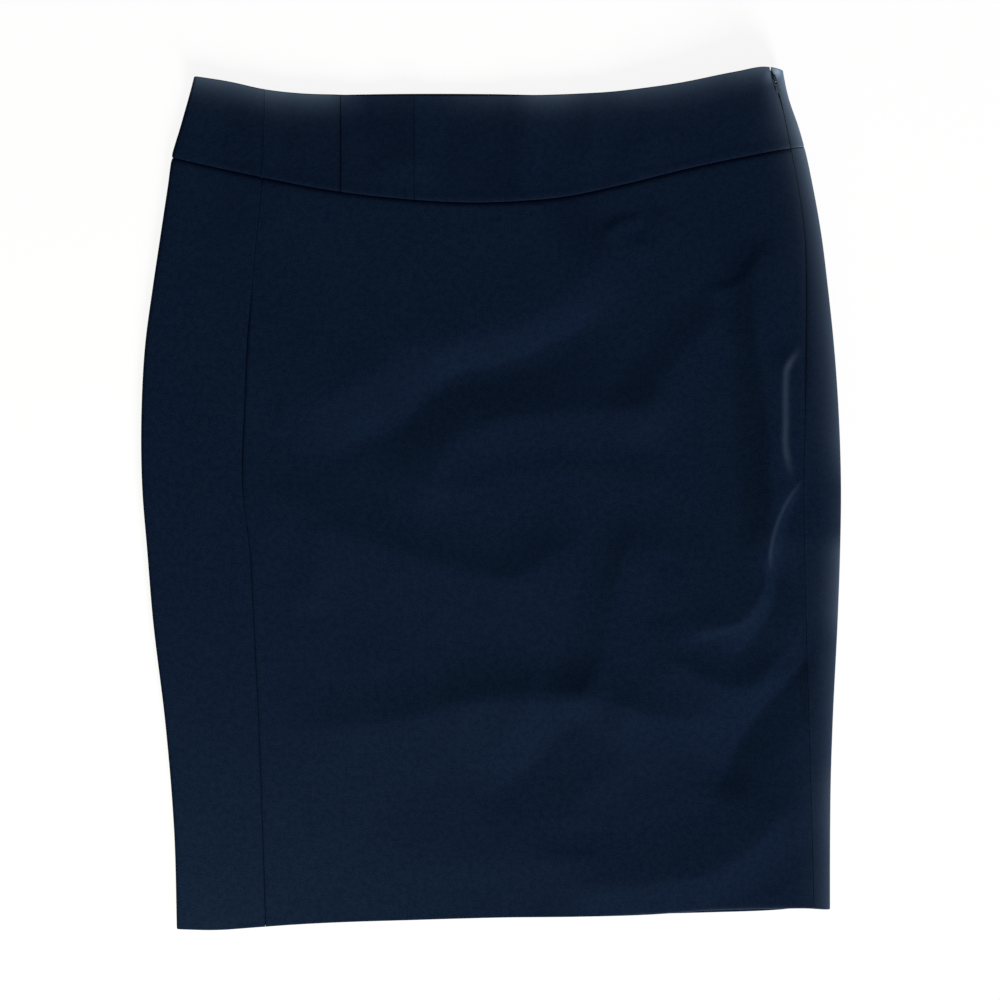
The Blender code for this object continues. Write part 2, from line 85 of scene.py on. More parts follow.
# %% Outline tables
SECTION_COLUMNS = ("y", "left", "panel", "side", "right", "round")
SECTIONS = [
    (300, -198.9, -154.1, 187, 197, 8),
    (272, -206.8, -154.5, 196.4, 203, 8.5),
    (252, -212.5, -155, 200.9, 209.9, 9),
    (238, -216.7, -155.4, 203.6, 213.8, 10),
    (212, -220.7, -156.8, 208.7, 219.4, 11.5),
    (180, -225.5, -159.9, 213, 225, 13),
    (143, -231, -163.2, 214.2, 229.6, 14.5),
    (107, -235.8, -166.2, 214, 233.4, 16),
    (63, -238.4, -168.2, 213.4, 236.6, 17),
    (6, -237.9, -169.4, 212.4, 238.4, 17),
    (-35, -234.6, -164.6, 212.8, 237.8, 16),
    (-78, -231.1, -162.3, 213.8, 236.3, 15),
    (-155, -222, -158.5, 216, 232.6, 13),
    (-192, -218.6, -157.1, 217, 231.4, 12),
    (-225, -216.3, -155.9, 217.9, 231, 11),
    (-300, -214.2, -153.5, 219.8, 230.9, 9),
]
LEVEL_COLUMNS = ("across", "waist", "yoke", "hem", "back_lift", "back_drop")
LEVELS = [
    (0, 288, 233, -293.4, 0, 0),
    (0.06, 284.3, 227, -294.1, -1.2, -1),
    (0.12, 279, 221.4, -292.3, -1.2, -1),
    (0.18, 276.3, 215.9, -290.4, -0.8, -1),
    (0.25, 275.4, 210.4, -288.8, 0.6, -1),
    (0.35, 275.2, 205.1, -287.4, 1.4, -1),
    (0.5, 275.1, 202, -285.5, 1.4, -1),
    (0.62, 275.5, 206, -284.8, 0.3, -0.6),
    (0.72, 277.7, 214.9, -283.3, -0.6, 0),
    (0.82, 282.7, 225.3, -280, -1.2, 2.2),
    (0.92, 290.3, 234, -278.5, -1, 2),
    (0.97, 293.3, 237.8, -278.3, -0.4, 0.3),
    (1, 291.6, 239.6, -279.3, 0, 0),
]


def columns(rows, names):
    """One array for each named column of a table."""
    return dict(zip(names, np.array(rows, dtype=float).T))


SECTION = columns(sorted(SECTIONS), SECTION_COLUMNS)
LEVEL = columns(LEVELS, LEVEL_COLUMNS)
print(len(SECTIONS), "heights and", len(LEVELS), "places across")

# %% [markdown]
# ## Smooth curves and soft steps
# A few small helpers shape nearly everything, above all a cubic curve through a table's rows and a
# step from 0 to 1 that starts and ends level.

# %% Curve helpers


def smooth(at, knots, values):
    """Cubic curve through a table's values."""
    slope = np.gradient(values, knots)
    i = np.clip(np.searchsorted(knots, at) - 1, 0, len(knots) - 2)
    step = knots[i + 1] - knots[i]
    t = np.clip((at - knots[i]) / step, 0.0, 1.0)
    rise = 3 * t**2 - 2 * t**3
    curve = values[i] * (1 - rise) + values[i + 1] * rise
    return curve + step * (t * (1 - t) ** 2 * slope[i] + t**2 * (t - 1) * slope[i + 1])


def section(name, y):
    return smooth(y, SECTION["y"], SECTION[name])


def level(name, across):
    return smooth(across, LEVEL["across"], LEVEL[name])


def ramp(t):
    """Soft step from 0 to 1."""
    t = np.clip(t, 0.0, 1.0)
    return t * t * (3 - 2 * t)


def amount(table, at):
    """Value at a place, from a table of places and values."""
    places, values = np.array(table, dtype=float).T
    return np.interp(at, places, values)


def unit(vectors):
    return vectors / np.linalg.norm(vectors, axis=-1, keepdims=True)


def follow(at, lengths, points):
    """The places at these lengths along a line of points."""
    return np.stack([np.interp(at, lengths, points[:, k]) for k in range(3)], axis=-1)


def level_y(across, v, back=False):
    """Height up the skirt at level v: 0 at the hem, 1 at the yoke seam, 2 at the waist."""
    if v <= 1.0:
        y = (1 - v) * level("hem", across) + v * level("yoke", across)
        return y - (1 - v) * level("back_drop", across) if back else y
    y = (2 - v) * level("yoke", across) + (v - 1) * level("waist", across)
    return y + (v - 1) * level("back_lift", across) if back else y


print("centre front length", round(float(level_y(0.5, 2.0) - level_y(0.5, 0.0)), 1), "mm")

# %% [markdown]
# ## Creases
# Cloth that has been worn and laid down keeps long soft folds where it was pulled, and short sharp
# ones where it was pinched. Each row below is one fold: its height (a trough is negative), how far
# it reaches to the left and right of its line, how round its crest is, and the points that the line
# runs through. Uneven reaches give one steep side and one soft side, as real creases have. They
# are listed one by one, because a cloth simulation gives folds of its own choosing.

# %% Crease tables
FRONT_CREASES = [
    # name, height, left reach, right reach, crest, line
    ("long_diagonal", 3.0, 110, 32, 7,
     [(-156, 44), (-126, 64), (-95, 80), (-62, 102), (-28, 112), (20, 124), (55, 145), (76, 171),
      (89, 197)]),
    ("diagonal_valley", -1.3, 19, 26, 2,
     [(-144, 17), (-96, 33), (-62, 50), (-42, 70), (-24, 84), (6, 91), (37, 102), (68, 119),
      (89, 143)]),
    ("eye_top", 2.4, 34, 38, 3.5,
     [(-46, -28), (-44, 5), (-36, 25), (-20, 42), (6, 53), (54, 59), (102, 61), (143, 68)]),
    ("eye_inside", 0.9, 14, 38, 4, [(-28, -4), (-8, 9), (27, 17), (74, 18), (136, 14)]),
    ("kink_ridge", 2.7, 32, 54, 4,
     [(-177, 13), (-137, -1), (-96, -25), (-48, -42), (-8, -53), (14, -55), (34, -46), (52, -33),
      (72, -24)]),
    ("left_nudge", 1.0, 24, 18, 3, [(-116, -11), (-120, -45), (-127, -81)]),
    ("middle_post", 3.0, 110, 26, 3,
     [(104, -4), (98, -24), (92, -43), (87, -59), (83, -75), (80, -92), (77, -108), (72, -123),
      (62, -134), (46, -140), (26, -142)]),
    ("inner_valley", -0.9, 46, 24, 1.2,
     [(116, -34), (114, -48), (112, -62), (112, -76), (114, -90)]),
    ("jog_corner", 0.6, 28, 12, 1.5, [(102, -99), (122, -96), (138, -91), (154, -88), (172, -82)]),
    ("swell_edge", 2.4, 29, 52, 3,
     [(-160, -156), (-118, -156), (-80, -153), (-44, -147), (-10, -138), (33, -135), (66, -135),
      (88, -141), (112, -147), (150, -150)]),
    ("swell_crown", 1.2, 40, 44, 4, [(-34, -144), (-8, -140), (14, -139), (40, -140)]),
    ("swell_end", 0.9, 18, 46, 2, [(78, -137), (104, -146), (129, -149), (165, -149)]),
    ("patch_foot", -1.6, 36, 24, 4, [(70, -140), (48, -163), (20, -190), (-10, -214)]),
    ("small_streak", 0.4, 7, 14, 1.5, [(32, -240), (48, -245), (76, -244)]),
    ("low_ridge", 0.8, 36, 30, 6, [(-83, -237), (-14, -245), (47, -247), (109, -238)]),
    ("low_patch", 0.7, 18, 28, 5, [(54, -230), (57, -208), (72, -192), (100, -188)]),
    ("hem_ridge", 2.4, 38, 26, 4,
     [(30, -262), (74, -264), (112, -260), (144, -255), (171, -240), (195, -215), (215, -181)]),
    ("corner_valley", -3.2, 32, 46, 1.2,
     [(228, -84), (213, -110), (198, -129), (182, -147), (169, -166), (160, -186), (150, -206)]),
    ("hook", 2.0, 18, 38, 1.2,
     [(109, -100), (124, -111), (145, -122), (164, -129), (178, -127), (190, -117), (206, -94)]),
    ("jog", 1.8, 48, 8.5, 1,
     [(126, -101), (145, -89), (166, -85), (179, -73), (186, -58), (188, -38), (191, -21),
      (201, 1), (214, 14)]),
    ("jog_valley", -1.4, 12, 20, 1.5,
     [(136, -111), (168, -105), (185, -87), (193, -68), (193, -42), (196, -21), (206, -1),
      (220, 16)]),
    ("zip_ridge", 4.9, 26, 21, 3,
     [(173, 186), (180, 118), (186, 68), (190, 14), (192, -21), (188, -55)]),
    ("zip_line", 1.4, 4, 16, 0.8,
     [(211, 104), (200, 91), (198, 78), (198, 54), (198, 34), (203, 12)]),
    ("zip_side", 1.6, 24, 30, 5, [(99, 33), (114, 74), (136, 104), (163, 132)]),
    ("side_pinch", 0.8, 7, 26, 1, [(139, 139), (163, 144), (177, 155), (189, 180)]),
    ("pucker_left", 0.7, 5, 12, 1, [(76, 176), (84, 186), (94, 190), (104, 188)]),
    ("pucker_right", -0.5, 5, 6, 1, [(98, 186), (104, 182), (112, 174)]),
    ("panel_nick", 0.4, 12, 4, 1, [(-141, 70), (-143, 56), (-142, 42)]),
    ("upper_swell", 2.6, 110, 84, 8, [(-190, 216), (-120, 208), (-50, 202), (10, 203), (50, 208)]),
    ("upper_soft", 0.6, 14, 26, 4, [(102, 162), (110, 180), (121, 197)]),
]
YOKE_CREASES = [
    ("yoke_wave_a", 0.9, 14, 26, 5, [(-155, 293), (-156, 204)]),
    ("yoke_wave_b", 1.8, 22, 32, 5, [(-53, 298), (-54, 184)]),
    ("yoke_wave_c", 0.8, 14, 14, 4, [(23, 293), (22, 184)]),
    ("yoke_wave_d", 0.8, 10, 14, 3, [(69, 293), (67, 184)]),
    ("yoke_wave_e", 0.7, 18, 16, 4, [(107, 300), (109, 204)]),
    ("yoke_wave_f", 1.4, 14, 24, 4, [(189, 307), (192, 218)]),
]
BACK_CREASES = [
    ("back_diagonal", 0.6, 30, 38, 6, [(-150, 120), (-60, 70), (40, 52), (130, 80)]),
    ("back_swell", 0.5, 44, 30, 8, [(-120, -60), (0, -88), (110, -70), (170, -20)]),
    ("back_pull", 0.6, 22, 34, 6, [(150, 160), (120, 60), (128, -60)]),
    ("back_low", 0.5, 26, 40, 6, [(-90, -190), (30, -176), (150, -215)]),
]
print(len(FRONT_CREASES), "creases on the front and", len(BACK_CREASES), "on the back")

# %% [markdown]
# ## The shape of one crease
# A crease is a rounded crest with a hollow flank on either side, like paper that has been bent and
# let go. Its height comes from how far each point lies from the crease's line, and on which side.

# %% Crease helpers
CREASE_FADE = 0.2  # part of a crease's line over which it comes up from nothing, at each end
CREASE_POWER = 1.6  # how its flanks run out: 1 is a tent, 2 is hollow


def along(points, steps=10):
    """A smooth line through listed points, as many short straight steps."""
    knots = np.arange(len(points), dtype=float)
    at = np.linspace(0, len(points) - 1, steps * (len(points) - 1) + 1)
    return np.stack([smooth(at, knots, part) for part in np.array(points, dtype=float).T], axis=1)


def from_line(x, y, line):
    """Distance from a smooth line, the place along it from 0 to 1, and the side of it."""
    path = along(line)
    best = np.full(x.shape, np.inf)
    place = np.zeros(x.shape)
    side = np.zeros(x.shape)
    for i, (a, b) in enumerate(zip(path[:-1], path[1:])):
        step = b - a
        t = np.clip(((x - a[0]) * step[0] + (y - a[1]) * step[1]) / (step @ step), 0.0, 1.0)
        off_x = x - a[0] - t * step[0]
        off_y = y - a[1] - t * step[1]
        away = np.hypot(off_x, off_y)
        nearer = away < best
        best = np.where(nearer, away, best)
        place = np.where(nearer, (i + t) / (len(path) - 1), place)
        side = np.where(nearer, step[0] * off_y - step[1] * off_x, side)
    return best, place, side


def ends_fade(place):
    return ramp(place / CREASE_FADE) * ramp((1 - place) / CREASE_FADE)


def crease(x, y, height, left, right, crest, line):
    """Height that one crease adds at x, y."""
    away, place, side = from_line(x, y, line)
    reach = (np.sqrt(away**2 + crest**2) - crest) / np.where(side > 0, left, right)
    return height * ends_fade(place) * np.clip(1 - reach, 0.0, 1.0) ** CREASE_POWER


def creases(x, y, table):
    """All creases of a table; each one looks only at the points near its own line."""
    total = np.zeros(x.shape)
    for _, height, left, right, crest, line in table:
        reach = max(left, right) + 2 * crest
        low = np.min(line, axis=0) - reach
        high = np.max(line, axis=0) + reach
        near = (x > low[0]) & (x < high[0]) & (y > low[1]) & (y < high[1])
        total[near] += crease(x[near], y[near], height, left, right, crest, line)
    return total


print("longest crease", max(len(row[-1]) for row in FRONT_CREASES), "points")

# %% [markdown]
# ## The height of the front
# The front lies on the back at the left, with a small bump where the fold is pressed. Towards the
# zip side it leaves the back, slowly at first and then faster, and levels out before it turns over
# the open fold.

# %% Base height
LEFT_ROUND = 2.5  # reach of the pressed fold, across
LEFT_HEIGHT = 4.2
LEFT_REACH = 26.0  # the cloth sinks to FLAT_HEIGHT over this width
LIFT_START = -40.0  # x where the front begins to leave the back
LIFT_HEIGHT = 10.0
LIFT_POWER = 2.2
LIFT_EASE = 14.0  # it levels out over this width before it turns over the right fold


def base_height(x, left, right, right_round):
    """Height of the front's outer surface, without creases."""
    from_left = x - left - LEFT_ROUND
    end = right - right_round
    z = FLAT_HEIGHT + (LEFT_HEIGHT - FLAT_HEIGHT) * (1 - ramp(from_left / LEFT_REACH))
    reach = end - LIFT_START
    z = z + LIFT_HEIGHT * np.clip((x - LIFT_START) / reach, 0.0, 1.0) ** LIFT_POWER
    slope = LIFT_HEIGHT * LIFT_POWER / reach
    return z - slope * np.clip(x - end + LIFT_EASE, 0.0, None) ** 2 / (2 * LIFT_EASE)


hip = [section(name, 0.0) for name in ("left", "right", "round")]
for x in (-150.0, 0.0, 100.0, 221.0):
    print("height at", x, "is", round(float(base_height(x, *hip)), 2), "mm")

# %% [markdown]
# ## One ring of the tube
# At any level the skirt is one closed loop: a short piece under the left fold, the fold, the front,
# the roll over the zip side, and the back flat on the surface. Working round this loop by length
# lets every seam be found on it, so neighbouring pieces share their edges exactly.

# %% Ring of the tube
LEFT_SEAM_IN = 10.0  # the left side seam lies under the skirt
UNDER_ROUND = 7.0  # reach of the right fold's underside, across
STRIP_SEAMS = {"strip_0": -102.8, "strip_1": -52.2}  # x of the yoke's two short seams
RING_STEPS = {"under": 6, "left": 36, "front": 300, "over": 32, "tuck": 24, "back": 80}


def spaced(part, start, end):
    """Even steps along one part of the ring, both ends included."""
    return np.linspace(start, end, RING_STEPS[part] + 1)


def ring_points(v):
    """The loop at level v, from the left side seam round by the front and back."""
    left = section("left", level_y(0.0, v))
    right_y = level_y(1.0, v)
    right = section("right", right_y)
    reach = section("round", right_y)
    front_start = left + LEFT_ROUND
    front_end = right - reach

    def across(x):
        return np.clip((x - left) / (right - left), 0.0, 1.0)

    def height(x):
        return base_height(x, left, right, reach)

    left_r = height(front_start) / 2
    right_r = height(front_end) / 2
    under = spaced("under", left + LEFT_SEAM_IN, front_start)[:-1]
    turn = np.radians(spaced("left", -90.0, 90.0))
    front = spaced("front", front_start, front_end)[1:-1]
    over = np.radians(spaced("over", 90.0, 0.0))
    tuck = np.radians(spaced("tuck", 0.0, -90.0))[1:]
    base = spaced("back", right - UNDER_ROUND, left + LEFT_SEAM_IN)[1:]
    x = np.concatenate([under, front_start - LEFT_ROUND * np.cos(turn), front,
                        front_end + reach * np.cos(over),
                        right - UNDER_ROUND + UNDER_ROUND * np.cos(tuck), base])
    z = np.concatenate([np.zeros(len(under)), left_r * (1 + np.sin(turn)), height(front),
                        right_r * (1 + np.sin(over)), right_r * (1 + np.sin(tuck)),
                        np.zeros(len(base))])
    first = len(under) + len(turn) // 2
    last = len(under) + len(turn) + len(front) + len(over) - 1
    is_front = np.zeros(len(x), dtype=bool)
    is_front[first : last + 1] = True
    y = np.where(is_front, level_y(across(x), v), level_y(across(x), v, back=True))
    return np.stack([x, y, z], axis=1), first, last


class Ring:
    """The loop at level v, with its length round from the start and how far it has turned."""

    def __init__(self, v):
        self.points, self.first, self.last = ring_points(v)
        flat = np.diff(self.points[:, [0, 2]], axis=0)
        self.length = np.concatenate([[0.0], np.cumsum(np.hypot(flat[:, 0], flat[:, 1]))])
        angle = np.unwrap(np.arctan2(flat[:, 1], flat[:, 0]))
        turned = np.concatenate([[0.0], np.cumsum(np.abs(np.diff(angle)))])
        self.turned = np.append(turned, turned[-1])

    def seam(self, name):
        """Length round the ring at which the named seam is crossed."""
        if name == "left":
            return 0.0
        if name == "end":
            return self.length[-1]
        span = slice(self.first, self.last + 1)
        x, y, _ = self.points[span].T
        beyond = x - (STRIP_SEAMS[name] if name in STRIP_SEAMS else section(name, y))
        i = int(np.argmax(beyond > 0)) - 1
        part = -beyond[i] / (beyond[i + 1] - beyond[i])
        length = self.length[span]
        return length[i] + part * (length[i + 1] - length[i])

    def at(self, length):
        return follow(length, self.length, self.points)


@lru_cache(maxsize=None)
def ring_at(v):
    return Ring(v)


for place, v in (("hem", 0.0), ("yoke seam", 1.0), ("waist", 2.0)):
    print(place, "is", round(ring_at(v).length[-1]), "mm round")

# %% [markdown]
# ## Rows and columns
# Each piece is a grid, from seam to seam and from edge to edge. Even steps are wasteful: sewn edges
# turn within a millimetre, while the middle of a panel hardly bends. So each border gets a few fine
# steps, first round the turned edge and then over the dip of the seam, and tight folds get more
# columns because the steps are even in length plus turning.

# %% Grid spacing
EDGE_TURN = np.radians(np.linspace(0.0, 90.0, 5))
SEAM_STEPS = (0.9, 1.3, 1.8, 2.6, 3.8, 5.4)
BAND_HEIGHT = {"skirt": 490.0, "yoke": 72.0}
BAND_ROWS = {"skirt": 200, "yoke": 40}
FINE_FROM, FINE_TO = 150.0, 214.0  # x of the sharp creases by the zip side


def near_edge(thickness):
    """Distances from a border: round the turned edge, then over the seam's dip."""
    turn = thickness / 2 * (1 - np.cos(EDGE_TURN))
    return np.concatenate([turn, SEAM_STEPS])


def pinch(count):
    """Share of the thickness by which each layer turns in: a half round at either end."""
    depth = np.zeros(count)
    turn = (1 - np.sin(EDGE_TURN)) / 2
    depth[: len(turn)] = turn
    depth[-len(turn) :] = turn[::-1]
    return depth


def row_levels(band, thickness):
    near = near_edge(thickness) / BAND_HEIGHT[band]
    gap = SEAM_GAP / 2 / BAND_HEIGHT[band]
    low, high = (1.0 + gap, 2.0) if band == "yoke" else (0.0, 1.0 - gap)
    middle = np.linspace(low + near[-1], high - near[-1], BAND_ROWS[band] + 1)[1:-1]
    return np.concatenate([low + near, middle, high - near[::-1]])


def column_lengths(ring, start, end, count, turning, thickness):
    near = near_edge(thickness)
    x = ring.points[:, 0]
    fine = (x > FINE_FROM) & (x < FINE_TO) & (ring.points[:, 2] > FLAT_HEIGHT)
    extra = np.concatenate([[0.0], np.cumsum(fine[1:] * np.diff(ring.length))])
    measure = ring.length + turning * ring.turned + extra
    ends = np.interp([start + near[-1], end - near[-1]], ring.length, measure)
    middle = np.interp(np.linspace(*ends, count + 1)[1:-1], measure, ring.length)
    return np.concatenate([start + near, middle, end - near[::-1]])


print("rows of a long panel", len(row_levels("skirt", CLOTH)))

# %% [markdown]
# ## Seams
# A seam is more than a line. The cloth dips where the stitches pull it in, and swells beside that
# over the turnings pressed flat underneath. The yoke was sewn last, so its lower edge stands a
# little proud of the panels, and they tuck under it. Each style below is one such section, and a
# dip below 0 fills up the groove between two turned edges. Shade is painted shade: the colour is
# darkened along the tuck, where the groove falls dark.

# %% Seam styles
SEAM_STYLES = {
    # name: dip, its width, swell, its distance from the seam, its width, painted shade, its width
    "pressed": (0.40, 1.1, 0.08, 7, 5, 0.65, 1.1),
    "deep": (0.05, 1.2, 0.12, 6, 5, 0.60, 0.9),
    "faint": (-0.30, 0.6, 0.05, 7, 5, 0.15, 1.1),
    "over": (0.25, 0.9, 0.16, 3, 3, 0.60, 0.9),
    "under": (0.55, 1.8, 0, 7, 5, 0.90, 1.6),
    "flush": (0.08, 1.2, 0, 7, 5, 0.20, 0.9),
    "zip": (0.35, 1.6, 0.20, 4.5, 3.5, 0.75, 0.9),
    "free": (0, 1, 0, 1, 1, 0, 1),
}
SEAM_STRENGTH = {
    # y, how much of its style a long seam shows there: below 0 it lies smoother than a plain joint
    "zip": [(-300, -0.6), (20, -0.6), (92, 0.9), (163, 0.9), (202, 0.35), (236, 0.3), (240, 0.8),
            (300, 0.8)],
    "pressed": [(-300, 0.4), (-42, 0.5), (0, 0.3), (25, 0.75), (120, 0.95), (150, 0.0), (240, 0.0)],
}


def seam_strength(style, y):
    return amount(SEAM_STRENGTH[style], y) if style in SEAM_STRENGTH else 1.0


def seam_section(style, distance, y):
    dip, dip_width, swell, swell_at, swell_width, *_ = SEAM_STYLES[style]
    away = (distance - swell_at) / swell_width
    relief = swell * np.exp(-(away**2)) - dip * np.exp(-((distance / dip_width) ** 2))
    return seam_strength(style, y) * relief


# Painted shade: the colour is darkened along the seam's tuck, where its groove falls dark.
def painted_seam_shade(style, distance, y):
    shade, shade_width = SEAM_STYLES[style][-2:]
    return seam_strength(style, y) * shade * np.exp(-((distance / shade_width) ** 2))


print("seam styles:", ", ".join(SEAM_STYLES))

# %% [markdown]
# ## The waist's curl and the painted sheen on its edges
# With no band sewn on, the front's waist edge has sprung up a little, more in some places than in
# others. The waist, the zip side, the hem and a few sharp crests also get painted sheen: a paler
# blue painted into the colour where rolled cloth catches the light. Both are short tables of
# amounts at places along the edge.

# %% Waist curl and painted sheen on the edges
# The amounts below are painted sheen, a paler colour where the cloth catches the light.
WAIST_CURL = [
    # x, rise
    (-205, 2.4), (-110, 2.2), (-85, 1.0), (-55, 0.7), (-25, 0.9), (15, 1.2),
    (40, 2.0), (60, 1.9), (75, 1.3), (95, 1.9), (150, 1.9), (190, 1.8),
]
CURL_REACH = 18.0
WAIST_PAINTED_SHEEN = [
    # x, amount
    (-199, 1.2), (-150, 1.55), (-112, 1.25), (-100, 0.55), (-84, 0.15), (-36, 0.15), (-18, 0.4),
    (14, 0.5), (31, 1.05), (47, 1.05), (66, 0.65), (80, 0.65), (96, 0.88), (160, 0.88), (178, 1.4),
    (197, 2.4),
]
SIDE_PAINTED_SHEEN = [
    # y, amount
    (-300, 0.8), (-240, 0.8), (-220, 1.05), (-198, 1.0), (-178, 0.6), (-150, 0.6), (-96, 0.7),
    (-78, 1.3), (-36, 1.3), (-22, 0.35), (8, 0.3), (40, 1.15), (150, 1.55), (200, 2.3),
    (236, 3.5), (252, 4.8), (300, 4.8),
]
WAIST_REACH, SIDE_REACH = 6.5, 5.8
HEM_PAINTED_SHEEN, HEM_REACH = 0.5, 0.8
HEM_SHEEN_FROM, HEM_SHEEN_EASE = 70.0, 30.0  # x from which the hem stands up enough to get the painted sheen
CORNER_PAINTED_HIGHLIGHT = ((194.5, 290.0), 8.0, 4.5)  # painted highlight at the corner over the zip: place, amount, reach
PAINTED_SHEEN_TURN = 0.5  # how far down cloth may face and still get the painted sheen
PAINTED_HIGHLIGHT_LINES = [
    # line, amount, reach: painted highlights along crests that stand up sharply
    ([(213, 106), (202, 91), (200, 78), (200, 54), (200, 34), (206, 10)], 0.42, 2.3),
    ([(213, 14), (202, 0), (194, -17), (190, -34), (190, -50)], 0.26, 1.1),
]


def waist_curl(x, depth):
    """Rise of the front near its waist edge, at this depth below it."""
    return amount(WAIST_CURL, x) * np.clip(1 - depth / CURL_REACH, 0.0, 1.0) ** 2


def painted_sheen_amount(x, y, below_waist, above_hem, facing_up):
    """Painted sheen and highlights: 1 is a full rim, and the corner over the zip is far over it."""
    waist = amount(WAIST_PAINTED_SHEEN, x) * np.exp(-below_waist / WAIST_REACH)
    side = amount(SIDE_PAINTED_SHEEN, y) * np.exp(-(section("right", y) - x) / SIDE_REACH)
    hem = HEM_PAINTED_SHEEN * ramp((x - HEM_SHEEN_FROM) / HEM_SHEEN_EASE) * np.exp(-above_hem / HEM_REACH)
    (corner_x, corner_y), most, reach = CORNER_PAINTED_HIGHLIGHT
    corner = most * np.exp(-np.hypot(x - corner_x, y - corner_y) / reach)
    painted_sheen = np.maximum.reduce([waist, side, hem, corner])
    for line, highlight, reach in PAINTED_HIGHLIGHT_LINES:
        away, place, _ = from_line(x, y, line)
        painted_sheen = painted_sheen + highlight * ends_fade(place) * np.exp(-((away / reach) ** 2))
    return painted_sheen * ramp(facing_up / PAINTED_SHEEN_TURN + 1)


print("most curl", max(rise for _, rise in WAIST_CURL), "mm")

# %% [markdown]
# ## The zip's seam
# The zip's slider sits just under the waist, and the two edges part a little round it. The pull
# tab lies in that slit. At the very top the edges are held closer again, by the last stitches.

# %% Seam gaps
NOTCH = [
    # depth below the waist, half the gap
    (0.0, 0.35), (7.0, 0.65), (14.0, 0.6), (30.0, SEAM_GAP / 2),
]


def side_point(v):
    ring = ring_at(v)
    return ring.at(ring.seam("side"))


def half_gap(name, v):
    if name != "side":
        return SEAM_GAP / 2
    return float(amount(NOTCH, side_point(2.0)[1] - side_point(v)[1]))


print("half gap at the waist", half_gap("side", 2.0), "mm")

# %% [markdown]
# ## A shell from a grid
# Cloth has two faces and a thickness. The outer grid is moved in along its normals to make the
# inner one, and both are pinched together at the border in a half round, where they share their
# vertices. The result is one closed surface with soft edges and no loose faces. A Solidify modifier
# would give the thickness too, but not the rounded edge.

# %% Shell from a grid


def grid_normals(points):
    return unit(np.cross(np.gradient(points, axis=1), np.gradient(points, axis=0)))


def shell(name, surface, thickness, border):
    """A closed thin body under a grid of points; border is the pinch at each grid point."""
    rows, cols = surface.shape[:2]
    normals = grid_normals(surface)
    outer = surface - border[..., None] * normals
    inner = surface - (thickness - border)[..., None] * normals
    index = np.arange(rows * cols).reshape(rows, cols)
    below = index.copy()
    below[1:-1, 1:-1] = rows * cols + np.arange((rows - 2) * (cols - 2)).reshape(rows - 2, -1)

    def quads(i, flip):
        corners = [i[:-1, :-1], i[:-1, 1:], i[1:, 1:], i[1:, :-1]]
        corners = corners[::-1] if flip else corners
        return np.stack(corners, axis=-1).reshape(-1, 4)

    vertices = np.concatenate([outer.reshape(-1, 3), inner[1:-1, 1:-1].reshape(-1, 3)])
    faces = np.concatenate([quads(index, False), quads(below, True)])
    return mesh_object(name, vertices, faces.tolist())


def placed(name, data):
    """A new object in the scene."""
    item = bpy.data.objects.new(name, data)
    bpy.context.scene.collection.objects.link(item)
    return item


def mesh_object(name, vertices, faces):
    """An object from vertices in millimetres."""
    mesh = bpy.data.meshes.new(name)
    mesh.from_pydata((vertices * MM).tolist(), [], faces)
    mesh.shade_smooth()
    return placed(name, mesh)


print("border's half round has", len(EDGE_TURN), "steps")

# %% [markdown]
# ## Marks that the finish reads
# Four things are written on each piece for its finish: a map in metres of cloth, so that one
# thread has one size everywhere, the iron's press along seams and edges, the painted shade of each
# seam's tuck, and the painted sheen on edges and crests.

# %% Marks on a piece


def inner_too(values):
    """A grid's values for the outer vertices, then for the inner ones."""
    return np.concatenate([values.ravel(), values[1:-1, 1:-1].ravel()])


def set_grain(item, across, up):
    mesh = item.data
    corner = np.empty(len(mesh.loops), dtype=np.int32)
    mesh.loops.foreach_get("vertex_index", corner)
    place = np.stack([inner_too(across), inner_too(up)], axis=1) * MM
    mesh.uv_layers.new(name="grain").uv.foreach_set("vector", place[corner].ravel())


def set_mark(item, name, values):
    mark = item.data.attributes.new(name, "FLOAT", "POINT")
    mark.data.foreach_set("value", inner_too(values).astype(np.float32))


print("marks: grain, press, tuck, rub")

# %% [markdown]
# ## How the cloth leaves its plain form
# The front's creases are added as height and fade out before either fold, so the solids' outline
# stays. A slight unevenness all over keeps the cloth from looking like sheet metal. The underside
# gets its own few shallow folds.

# %% Creased form
YOKE_FADE = 30.0  # the yoke's own creases die out over this height above its seam
UNEVEN_WIDTH = 18.0
UNEVEN_HEIGHT = 0.16
UNEVEN_LAYERS = ((1.0, 1.0, 0.5), (0.4, 2.5, 9.5))  # share, fineness, and where it is sampled
RIGHT_HOLD = 16.0  # creases fade to nothing over this width at the right fold
RIGHT_SPILL = 4.0  # and run this far round it
BACK_FROM = 40.0  # the back's creases keep this far from either fold
CREASE_TURN = 0.25  # cloth that faces up less than this is creased less
UNDERSIDE = -0.9  # cloth that faces down more than this is the back


def unevenness(x, y):
    places = zip((x / UNEVEN_WIDTH).ravel().tolist(), (y / UNEVEN_WIDTH).ravel().tolist())
    values = [sum(share * noise.noise(Vector((fine * a, fine * b, layer)))
                  for share, fine, layer in UNEVEN_LAYERS) for a, b in places]
    return UNEVEN_HEIGHT * np.array(values).reshape(x.shape)


